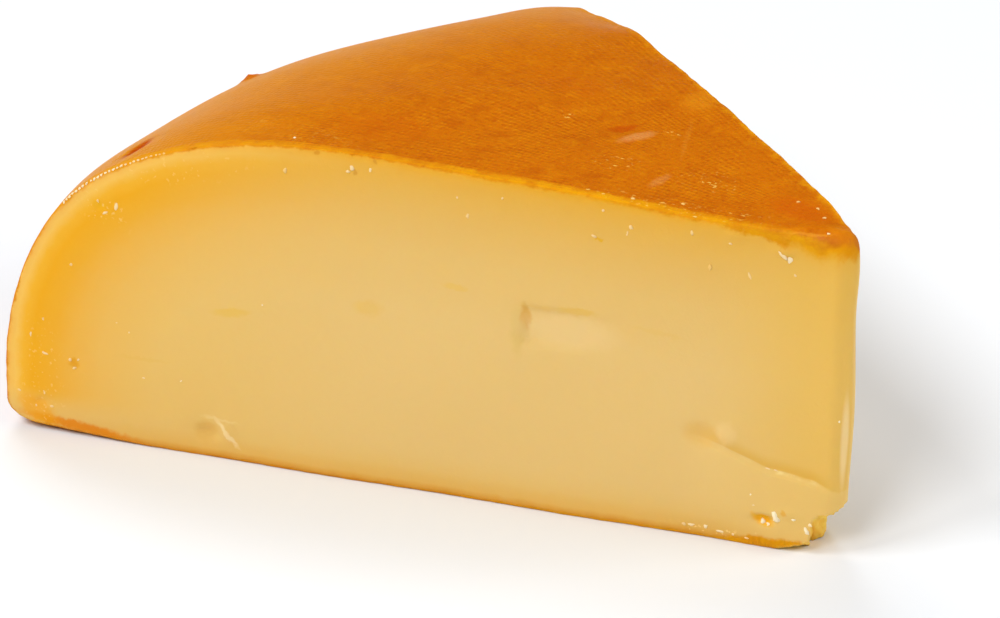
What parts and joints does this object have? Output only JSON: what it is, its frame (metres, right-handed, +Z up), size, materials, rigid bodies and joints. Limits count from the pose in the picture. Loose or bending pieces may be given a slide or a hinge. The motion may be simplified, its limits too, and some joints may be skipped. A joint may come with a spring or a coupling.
{
  "type": "cheese wedge",
  "caption": "Wedge cut from a low round wheel of firm orange-rinded cheese, with two flat cuts, a rounded outer rim and a blunt torn tip, standing on its base.",
  "frame": {"origin": "centre of the bounding box at the height of the flat base, which is z = 0", "axes": "+X points from the rounded rind to the wedge's tip, +Y from the front cut to the back cut, +Z up"},
  "size_m": [0.1213, 0.1033, 0.0486],
  "materials": {
    "cheese": "waxy golden yellow paste on the cuts, with a thin satin orange rind that carries a fine cloth imprint"
  },
  "bodies": {
    "root": {"cheese_wedge": "cheese"}
  },
  "joints": []
}
